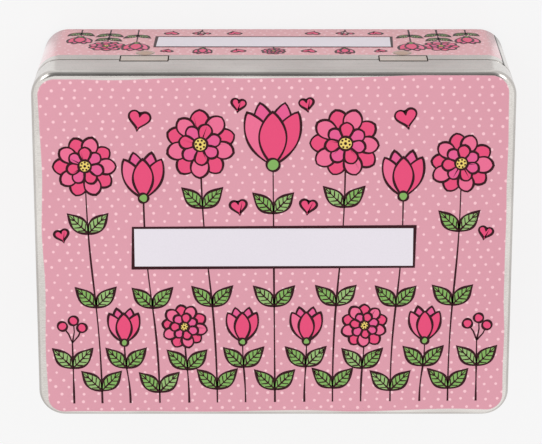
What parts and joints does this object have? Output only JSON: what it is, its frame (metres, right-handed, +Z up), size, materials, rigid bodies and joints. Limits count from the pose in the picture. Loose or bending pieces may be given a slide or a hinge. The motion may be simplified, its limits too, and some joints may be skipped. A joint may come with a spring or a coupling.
{
  "type": "hinged-lid tin",
  "caption": "Rectangular printed tin box with rounded corners and a hinged flush lid, for papers and keepsakes.",
  "frame": {"origin": "middle of the underside, on the surface the tin stands on", "axes": "+X along the long front to the right, +Y from the front to the hinge side, +Z up out of the lid"},
  "size_m": [0.2, 0.1529, 0.074],
  "materials": {
    "printed_tinplate": "satin litho print over tinplate",
    "bare_tinplate": "satin tinplate",
    "hinge_steel": "satin steel"
  },
  "bodies": {
    "body": {"body_wall": "printed_tinplate", "base_plate": "bare_tinplate", "hinge_leaf_left": "hinge_steel", "hinge_leaf_right": "hinge_steel"},
    "lid": {"lid": "printed_tinplate", "hinge_pin_left": "hinge_steel", "hinge_pin_right": "hinge_steel"}
  },
  "joints": [
    {"name": "lid_hinge", "type": "hinge", "parent": "body", "child": "lid", "pos_m": [0, 0.0744, 0.0556], "axis": [-1, 0, 0], "range_deg": [0, 105]}
  ]
}
